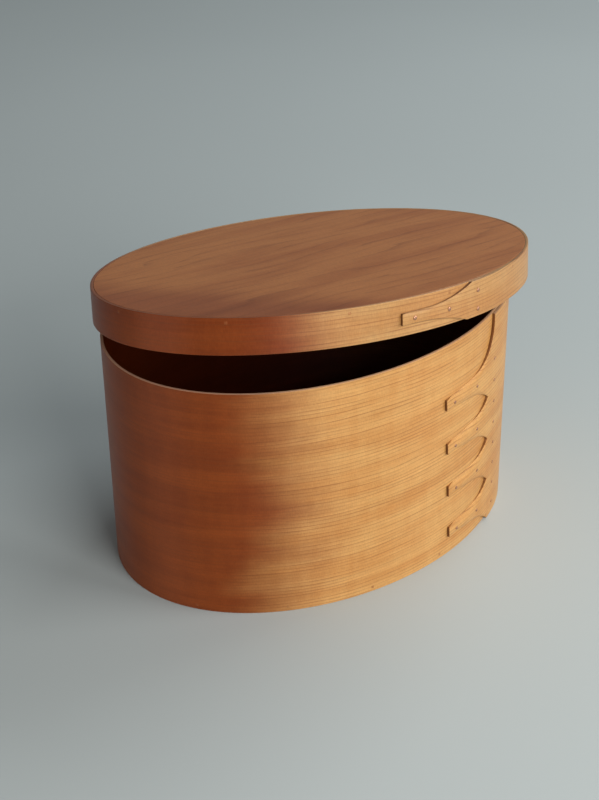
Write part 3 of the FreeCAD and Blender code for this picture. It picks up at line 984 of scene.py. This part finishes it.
@dataclass(frozen=True)
class Cherry:
    """Oiled cherry: growth lines, soft figure, curl, rays, fine fibre and gum flecks."""

    name: str
    cut: Cut
    tones: Tones
    seed: float
    heart_and_shade: HeartwoodAndShade | None = None
    ring: float = 2.9 * MM
    sway: float = 6.0 * MM
    unevenness: float = 0.8
    line_strength: float = 0.75
    late_power: float = 7.0
    early_span: Span = (0.0, 0.06)
    fading_tones: Span = (0.28, 1.0)
    cloud: Noise = CLOUD
    figure: float = 0.75
    curl: float = 0.24
    fibre_tones: Span = (0.91, 1.07)
    ray_tones: Span = (0.93, 1.07)
    streak_tones: Span = (0.95, 1.05)
    fleck: float = 0.35
    # inside: how far a band's inner face is darkened, as painted shade.
    inside: Colour | None = None
    inside_shade_depth: Span = (0.04 * MM, 0.10 * MM)
    strip_height: float | None = None
    # Painted highlight on a band's long edges: its colour, depth and strength.
    edge_highlight: Colour = (0.90, 0.58, 0.40)
    edge_highlight_depth: Span = (0.02 * MM, 0.20 * MM)
    edge_highlight_strength: float = 0.45
    # end: colour of sawn faces, dark as end grain and as painted shade.
    end: Colour = (0.115, 0.028, 0.006)
    end_grain_and_shade_share: float = 0.9
    fibre_relief: float = 0.6
    line_relief: float = -0.8
    relief: float = 0.16
    relief_height: float = 0.06 * MM
    roughness: float = 0.50
    dull_span: Span = (0.2, 0.8)
    dull_tones: Span = (-0.04, 0.06)
    satin: float = 0.11
    satin_stretch: float = 0.8
    satin_turn: float = 0.25
    coat: float = 0.35

    def growth_lines(self, n: Nodes) -> Socket:
        """Strength of the dark latewood lines.

        The distance across the rings is bent by slow noise, made uneven by quicker noise
        and divided by the ring's width. A line is dark where the result nears the next
        whole number. Its strength comes and goes along the board and from ring to ring.

        Args:
            n: the material's nodes.

        Returns:
            Numbers from 0 to the lines' strength.
        """
        across = n.vector("DOT_PRODUCT", n.place, self.cut.value, "Value")
        bend = n.swing(BEND, 2 * self.sway)
        wobble = n.swing(WOBBLE, self.unevenness * self.ring)
        rings = n.math("DIVIDE", n.math("ADD", n.math("ADD", across, bend), wobble), self.ring)
        phase = n.math("FRACT", rings)
        late = n.math("POWER", phase, self.late_power)
        early = n.between(phase, self.early_span, (1.0, 0.0))
        fading = n.pattern(FADING, self.fading_tones)
        return n.product(n.math("MAXIMUM", late, early), n.product(fading, self.line_strength))

    def figure_share(self, n: Nodes) -> Socket:
        """Share of darker wood: wide clouds along the grain, and curl across it.

        Args:
            n: the material's nodes.

        Returns:
            Numbers from 0 to the figure's strength.
        """
        cloud = n.product(n.pattern(self.cloud), 1 - self.curl)
        share = n.math("ADD", cloud, n.product(n.pattern(CURL), self.curl))
        return n.product(share, self.figure)

    def heart_and_shade_share(self, n: Nodes) -> Socket:
        """Share of the redder wood, painted shade on the bands: one within its length, falling to
        none over its fade.

        Its end is moved by noise, and back by the distance across the grain from the knee
        times the slant.

        Args:
            n: the material's nodes.

        Returns:
            Numbers from 0 to 1.
        """
        red_and_shade = self.heart_and_shade
        shift = n.swing(RAGGED, red_and_shade.ragged * red_and_shade.fade)
        away = n.math("ABSOLUTE", n.math("SUBTRACT", n.part("Y"), red_and_shade.knee))
        along = n.math("ADD", n.math("ADD", n.part("X"), shift), n.product(away, red_and_shade.slant))
        begun = n.between(along, (red_and_shade.first - 2 * red_and_shade.fade, red_and_shade.first))
        going_on = n.between(along, (red_and_shade.last, red_and_shade.last + red_and_shade.fade), (1.0, 0.0))
        return n.product(begun, going_on)

    def edge_highlight_share(self, n: Nodes) -> Socket:
        """Share of painted highlight: one on a strip's long edges, none a little way in.

        Args:
            n: the material's nodes.

        Returns:
            Numbers from 0 to the highlight's strength.
        """
        height = n.part("Y")
        near, far = self.edge_highlight_depth
        low = n.between(height, self.edge_highlight_depth, (1.0, 0.0))
        high = n.between(height, (self.strip_height - far, self.strip_height - near))
        return n.product(n.math("MAXIMUM", low, high), self.edge_highlight_strength)

    def make(self) -> Material:
        """Build the material.

        The wood is a mix of its light and dark tones by the figure, with redder, darker wood
        laid over part of it as painted shade, darkened by growth lines, fibre, rays, streaks
        and flecks. The inner face of a band is darkened as painted shade, its long edges are
        lightened as a painted highlight and its sawn ends are darkened as end grain and
        painted shade. The satin is a lobe that is wide across the grain and narrow along it,
        as on any wood whose fibres run one way.

        Returns:
            The material.
        """
        n = Nodes(self.name, self.seed)
        light, dark, latewood = self.tones.value
        line, figure = self.growth_lines(n), self.figure_share(n)
        fibre = n.noise(FIBRE)
        colour = n.blend(figure, light, dark)
        # Painted shade: redder, darker wood over the part of a band that lies in shade.
        if self.heart_and_shade is not None:
            red = n.blend(figure, self.heart_and_shade.light, self.heart_and_shade.dark)
            colour = n.blend(self.heart_and_shade_share(n), colour, red)
        colour = n.blend(line, colour, latewood)
        grey = n.product(n.between(fibre, FIBRE.span, self.fibre_tones),
                         n.pattern(RAYS, self.ray_tones))
        grey = n.product(grey, n.pattern(STREAK, self.streak_tones))
        tint = n.add("CombineColor", {0: grey, 1: grey, 2: grey}).outputs[0]
        colour = n.blend(1.0, colour, tint, "MULTIPLY")
        if self.inside is not None:
            # Painted shade: the inner face is darkened for the shade inside the box.
            inner = n.between(n.part("Z"), self.inside_shade_depth, (1.0, 0.0))
            colour = n.blend(inner, colour, self.inside, "MULTIPLY")
        colour = n.blend(n.product(n.pattern(FLECKS), self.fleck), colour, latewood)
        if self.strip_height is not None:
            # Painted highlight: the long edges are lightened where the arris catches the light.
            colour = n.blend(self.edge_highlight_share(n), colour, self.edge_highlight)
        # End grain and painted shade: sawn faces are darkened both as end grain and for the shade
        # on them.
        sawn = n.add("Attribute", attribute_name=SAWN).outputs["Fac"]
        colour = n.blend(n.product(sawn, self.end_grain_and_shade_share), colour, self.end)
        relief = n.math("ADD", n.product(fibre, self.fibre_relief),
                        n.product(line, self.line_relief))
        bump = n.add("Bump", {"Strength": self.relief, "Distance": self.relief_height,
                              "Height": relief}).outputs[0]
        low, high = (self.roughness + more for more in self.dull_tones)
        rough = n.between(fibre, self.dull_span, (low, high))
        shader = n.add("BsdfPrincipled", {
            "Base Color": colour, "Roughness": rough, "Normal": bump, "IOR": 1.45,
            "Specular IOR Level": 0.25, "Metallic": self.satin,
            "Anisotropic": self.satin_stretch, "Anisotropic Rotation": self.satin_turn,
            "Tangent": n.add("Tangent", direction_type="RADIAL", axis="Z").outputs[0],
            "Coat Weight": self.coat, "Coat Roughness": 0.30, "Coat IOR": 1.28})
        return n.finish(shader.outputs[0])


@dataclass(frozen=True)
class Copper:
    """Hammered copper, dulled by oil, with darker tarnish in patches."""

    name: str
    bright: Colour
    dull: Colour
    patches: Span = (0.35, 0.65)
    rough: Span = (0.34, 0.52)
    relief: float = 0.5
    relief_height: float = 0.05 * MM

    def make(self) -> Material:
        """Build the material: two tones of copper by noise, with a faint hammered relief.

        Returns:
            The material.
        """
        n = Nodes(self.name)
        tarnish = n.noise(TARNISH)
        bump = n.add("Bump", {"Strength": self.relief, "Distance": self.relief_height,
                              "Height": n.noise(DENTS)}).outputs[0]
        shader = n.add("BsdfPrincipled", {
            "Base Color": n.blend(n.between(tarnish, self.patches), self.bright, self.dull),
            "Metallic": 1.0, "Roughness": n.between(tarnish, TARNISH.span, self.rough),
            "Normal": bump})
        return n.finish(shader.outputs[0])


# ---- Sub-assemblies ----


@dataclass
class Assembly:
    """A band with its board, tacks and pegs, standing at one seat and riding on one body."""

    body: str
    prefix: str
    strip: Strip
    board: Board
    board_name: str
    peg_name: str
    tack_rows: tuple[float, float, float]
    root_spread: float
    peg_count: int
    first_peg: float
    seat: Seat
    seed: int
    tack: Tack
    peg: Peg = field(default_factory=Peg)

    def settle(self, shape: Shape, node: str, ending: str, material: Material) -> None:
        """Make a piece that stands for its node, hides the node and rides on the body.

        Args:
            shape: the piece's shape.
            node: the node that it replaces.
            ending: what follows the node's name in the piece's.
            material: the finish.
        """
        piece = shape.make(f"{node}_{ending}", material, self.seat)
        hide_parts(node)
        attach(piece, self.body)
        log.info("%s: %d faces", piece.name, len(piece.data.polygons))

    def build_wood(self, band: Material, board: Material) -> None:
        """Build and dress the band and its board."""
        self.settle(self.strip.bent(), self.prefix + "_band", "strip", band)
        self.settle(self.board.turned(), self.board_name, "oval", board)

    def tack_name(self, finger: int, number: int) -> str:
        """Node name of a tack, from its finger and its number on it."""
        fingers = "" if len(self.strip.fingers.centres) == 1 else f"{finger}_"
        return f"{self.prefix}_tack_{fingers}{number}"

    def build_tacks(self, copper: Material) -> None:
        """Build the tacks: one at each finger's tip, one in its middle, two at its root.

        Args:
            copper: their finish.
        """
        rng = np.random.default_rng(self.seed)
        tip, middle, root = self.tack_rows
        half = self.root_spread / 2
        for finger, centre in enumerate(self.strip.fingers.centres, start=1):
            places = [(tip, centre), (middle, centre), (root, centre - half), (root, centre + half)]
            for number, (distance, height) in enumerate(places, start=1):
                place = Place.on(self.strip, self.strip.tip_line(height) + distance, height)
                tack = self.tack.driven(place, rng)
                self.settle(tack, self.tack_name(finger, number), "copper", copper)

    def build_pegs(self, sapwood: Material, red_wood: Material, red_and_shade: HeartwoodAndShade) -> None:
        """Build the pegs at even distances round the band, level with the board's middle.

        Args:
            sapwood: the finish of most pegs.
            red_wood: the finish of those driven into the band's redder wood, which is painted
                shade.
            red_and_shade: where that redder wood lies.
        """
        height = self.board.base + self.board.thickness / 2
        round_band = self.strip.core.perimeter
        for number in range(self.peg_count):
            distance = self.first_peg + round_band / self.peg_count * number
            wood = red_wood if red_and_shade.first < distance % round_band < red_and_shade.last else sapwood
            peg = self.peg.driven(Place.on(self.strip, distance, height), self.seat)
            self.settle(peg, f"{self.peg_name}_{number + 1:02d}", "square", wood)

    def check_fit(self) -> None:
        """Report how far the built band's box lies from its node's."""
        node = self.prefix + "_band"
        low, high = (np.array(corner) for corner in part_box(node))
        strip = bpy.data.objects[node + "_strip"]
        points = np.array([corner.co for corner in strip.data.vertices])
        off = np.abs(np.concatenate([points.min(axis=0) - low, points.max(axis=0) - high])).max()
        log.info("%s lies within %.3f mm of its node", strip.name, off / MM)


@dataclass(frozen=True)
class BoxSizes:
    """Driving sizes of the box and of its lid."""

    length: float = 358.0 * MM
    width: float = 261.0 * MM
    height: float = 190.0 * MM
    band: float = 2.4 * MM
    bottom_board: float = 8.0 * MM
    lowest_finger: float = 20.8 * MM
    highest_finger: float = 50.2 * MM
    finger_count: int = 4
    lid_play: float = 7.1 * MM
    lid_height: float = 26.9 * MM
    lid_band: float = 2.4 * MM
    lid_board: float = 7.0 * MM
    lid_lower_tack: float = 5.4 * MM
    lid_upper_tack: float = 0.6 * MM
    lid_tilt: float = 10.3
    tilt_heading: float = -35.0
    tilt_inset: float = 1.0 * MM
    closed_seat: float = 0.15 * MM
    back_gap: float = 2.9 * MM
    left_gap: float = 1.9 * MM

    def box(self) -> Assembly:
        """The open box.

        Returns:
            The assembly, its fingers at even distances up the band.
        """
        core = Oval(self.length / 2 - self.band, self.width / 2 - self.band, start=14.0 * MM)
        pitch = (self.height - self.highest_finger - self.lowest_finger) / (self.finger_count - 1)
        centres = tuple(self.lowest_finger + pitch * number for number in range(self.finger_count))
        fingers = Fingers(centres, tip_width=9.6 * MM, taper=6.0, straight=36.0 * MM,
                          arc=38.0 * MM, nose=1.6 * MM, lean=0.075)
        rows = (9.2 * MM, 39.7 * MM, 70.8 * MM)
        return Assembly(
            "root", "box", Strip(core, self.band, self.height, fingers, root_tack=rows[-1]),
            Board(core, self.bottom_board, base=0.0), "bottom_board", "bottom_peg", tack_rows=rows,
            root_spread=pitch / 2, peg_count=14, first_peg=-65.0 * MM, seat=LEVEL, seed=11,
            tack=Tack(head_radius=1.35 * MM, head_height=0.42 * MM))

    def lid(self) -> Assembly:
        """The lid, tipped on the back of the rim.

        Returns:
            The assembly, with its one finger midway between the root tacks.
        """
        core = Oval(self.length / 2 + self.lid_play, self.width / 2 + self.lid_play,
                    start=-44.0 * MM)
        base = self.lid_height - self.lid_board
        upper = base - self.lid_upper_tack
        fingers = Fingers(((self.lid_lower_tack + upper) / 2,), tip_width=8.8 * MM, taper=1.0,
                          straight=20.0 * MM, arc=130.0 * MM)
        rows = (10.5 * MM, 42.5 * MM, 74.0 * MM)
        strip = Strip(core, self.lid_band, self.lid_height, fingers, root_tack=rows[-1],
                      side_bevel=(1.5 * MM, 1.5 * MM), bevel_fades=(14.0 * MM, 62.0 * MM))
        return Assembly(
            "lid", "lid", strip, Board(core, self.lid_board, base), "lid_board", "lid_peg",
            tack_rows=rows, root_spread=upper - self.lid_lower_tack, peg_count=12,
            first_peg=-40.0 * MM, seat=self.lid_seat(), seed=23, tack=Tack())

    def lid_seat(self) -> Seat:
        """Where the lid stands: slid within its play, then tipped about a line at the back.

        The line lies just inside the back of the box band, level with the closed lid's
        lower edge. The turn is the rotation matrix of the tilt about that line.

        Returns:
            The seat.
        """
        heading = math.radians(self.tilt_heading)
        along = np.array([math.cos(heading), math.sin(heading), 0.0])
        backward = np.cross(UP, along)
        outer = Oval(self.length / 2, self.width / 2, start=0.0)
        level = UP * (self.height + self.closed_seat - (self.lid_height - self.lid_board))
        pivot = outer.farthest(backward) - backward * self.tilt_inset + level
        slid = along * (self.lid_play - self.left_gap) - backward * (self.lid_play - self.back_gap)
        turn = np.array(Matrix.Rotation(math.radians(self.lid_tilt), 3, Vector(-along)))
        return Seat(turn, turn @ (slid + level - pivot) + pivot)


# ---- Studio ----


def direction(azimuth: float, elevation: float) -> Vector:
    """Unit vector at an azimuth from +X and an elevation, both in degrees."""
    a, e = math.radians(azimuth), math.radians(elevation)
    return Vector((math.cos(a) * math.cos(e), math.sin(a) * math.cos(e), math.sin(e)))


@dataclass(frozen=True)
class Lamp:
    """A rectangular soft lamp that faces the box."""

    name: str
    azimuth: float
    elevation: float
    distance: float
    size: tuple[float, float]
    watts: float
    colour: Colour

    def hang(self, aim: Vector) -> None:
        """Put the lamp in the scene.

        Args:
            aim: the point that it faces.
        """
        data = bpy.data.lights.new(self.name, "AREA")
        data.shape = "RECTANGLE"
        data.size, data.size_y = self.size
        data.energy = self.watts
        data.color = self.colour
        lamp = bpy.data.objects.new(self.name, data)
        towards = direction(self.azimuth, self.elevation)
        lamp.location = aim + towards * self.distance
        lamp.rotation_euler = towards.to_track_quat("Z", "Y").to_euler()
        bpy.context.scene.collection.objects.link(lamp)


@dataclass(frozen=True)
class Studio:
    """Pale floor, soft lamps and the camera."""

    floor_colour: Colour = (0.482, 0.532, 0.534)
    floor_shade: float = 0.96
    floor_half: float = 9.0
    floor_drop: float = 0.1 * MM
    sky_colour: Colour = (0.40, 0.43, 0.44)
    sky_strength: float = 0.30
    azimuth: float = -41.40
    elevation: float = 29.56
    roll: float = -0.847
    distance: float = 1.2776
    focal_pixels: float = 1586.5
    image_width: float = 599.0
    sensor: float = 36.0
    nearest: float = 0.05
    farthest: float = 60.0
    aim: tuple[float, float, float] = (-0.01326, 0.0, 0.10304)
    # Each lamp's azimuth and elevation in degrees, distance, size, watts and colour.
    lamps: tuple[Lamp, ...] = (
        Lamp("right_window", -54.0, 23.0, 2.3, (1.3, 1.1), 29.0, (1.0, 0.98, 0.95)),
        Lamp("front_window", -101.0, 21.0, 2.3, (1.3, 1.1), 40.0, (1.0, 0.98, 0.95)),
        Lamp("room", 5.0, 44.0, 2.8, (1.8, 1.6), 28.0, (0.94, 0.98, 1.0)),
        Lamp("left_fill", 172.0, 7.0, 2.5, (1.5, 0.5), 11.0, (1.0, 0.94, 0.88)),
    )

    def lay_floor(self) -> None:
        """A wide level sheet, seen only from above, with a faint unevenness of tone."""
        n = Nodes("floor_paper")
        darker = tuple(channel * self.floor_shade for channel in self.floor_colour)
        colour = n.blend(n.pattern(PAPER), darker, self.floor_colour)
        sheet = n.add("BsdfPrincipled", {"Base Color": colour, "Roughness": 0.85,
                                         "Specular IOR Level": 0.25}).outputs[0]
        clear = n.add("BsdfTransparent").outputs[0]
        back = n.add("NewGeometry").outputs["Backfacing"]
        material = n.finish(n.add("MixShader", {0: back, 1: sheet, 2: clear}).outputs[0])
        corners = self.floor_half * np.array([[-1, -1, 0], [1, -1, 0], [1, 1, 0], [-1, 1, 0]])
        points = corners - self.floor_drop * UP
        Shape(points, [np.array([[0, 1, 2, 3]])], points).make("floor", material)

    def light(self) -> None:
        """Even grey surroundings and the lamps."""
        world = bpy.data.worlds.new("room_light")
        world.use_nodes = True
        ground = world.node_tree.nodes["Background"]
        ground.inputs["Color"].default_value = (*self.sky_colour, 1.0)
        ground.inputs["Strength"].default_value = self.sky_strength
        bpy.context.scene.world = world
        for lamp in self.lamps:
            lamp.hang(Vector(self.aim))

    def place_camera(self) -> None:
        """The camera, on a sphere round its aim, turned by a slight roll about its own axis."""
        data = bpy.data.cameras.new("camera")
        data.sensor_fit = "HORIZONTAL"
        data.sensor_width = self.sensor
        data.lens = self.focal_pixels * self.sensor / self.image_width
        data.clip_start, data.clip_end = self.nearest, self.farthest
        back = direction(self.azimuth - 90.0, self.elevation)
        camera = bpy.data.objects.new("camera", data)
        camera.location = Vector(self.aim) + back * self.distance
        level = back.to_track_quat("Z", "Y").to_matrix()
        rolled = level @ Matrix.Rotation(math.radians(self.roll), 3, "Z")
        camera.rotation_euler = rolled.to_euler()
        bpy.context.scene.collection.objects.link(camera)
        bpy.context.scene.camera = camera

    def set_up(self) -> None:
        """Lay the floor, hang the lamps and place the camera."""
        self.lay_floor()
        self.light()
        self.place_camera()
        bpy.context.scene.view_settings.view_transform = "Standard"


# ---- The scene ----


def band_finishes(sizes: BoxSizes) -> tuple[Cherry, Cherry]:
    """Finishes of the two bands: golden, with redder, darker wood round the left end as painted
    shade.

    Args:
        sizes: the box's sizes.

    Returns:
        The box band's finish and the lid band's.
    """
    # Painted shade: how far the bands' inner faces are darkened.
    inner = (0.40, 0.29, 0.27)
    band = Cherry("cherry_band", Cut.BAND, Tones.GOLDEN, seed=4.0, inside=inner,
                  strip_height=sizes.height,
                  heart_and_shade=HeartwoodAndShade(400 * MM, 800 * MM, 95 * MM, slant=0.3, knee=90 * MM))
    lid_band = Cherry("cherry_lid_band", Cut.BAND, Tones.LID_GOLDEN, seed=31.0, inside=inner,
                      strip_height=sizes.lid_height, edge_highlight_strength=0.12,
                      heart_and_shade=HeartwoodAndShade(700 * MM, 926 * MM, 70 * MM,
                                          light=(0.225, 0.045, 0.0070),
                                          dark=(0.165, 0.028, 0.0040)))
    return band, lid_band


def board_finish() -> Cherry:
    """Finish of the two boards: brown, with wide rings, redder towards the left end.

    Returns:
        The finish.
    """
    front = HeartwoodAndShade(-300 * MM, -94 * MM, 60 * MM, slant=0.5, knee=-140 * MM,
                      light=(0.36, 0.113, 0.040), dark=(0.26, 0.074, 0.025))
    return Cherry("cherry_board", Cut.PLANK, Tones.BROWN, seed=57.0, heart_and_shade=front,
                  ring=8.0 * MM, sway=16.0 * MM, line_strength=0.45, cloud=WIDE_CLOUD,
                  figure=0.70, curl=0.12, roughness=0.42, satin=0.0, satin_stretch=0.0)


def main() -> None:
    """Build the box, the lid and the studio."""
    logging.basicConfig(level=logging.INFO, format="%(name)s %(message)s")
    sizes = BoxSizes()
    wood = board_finish().make()
    sap_pegs, red_pegs = (
        Cherry(name, Cut.PLANK, tones, seed, line_strength=0.2, satin_stretch=0.0).make()
        for name, tones, seed in (("cherry_peg", Tones.SAPWOOD, 9.0),
                                  ("red_cherry_peg", Tones.RED, 13.0)))
    copper = Copper("tack_copper", bright=(0.52, 0.28, 0.18), dull=(0.32, 0.15, 0.085)).make()
    for assembly, finish in zip((sizes.box(), sizes.lid()), band_finishes(sizes)):
        assembly.build_wood(finish.make(), wood)
        assembly.build_tacks(copper)
        assembly.build_pegs(sap_pegs, red_pegs, finish.heart_and_shade)
        assembly.check_fit()
    Studio().set_up()


if __name__ == "__main__":
    main()
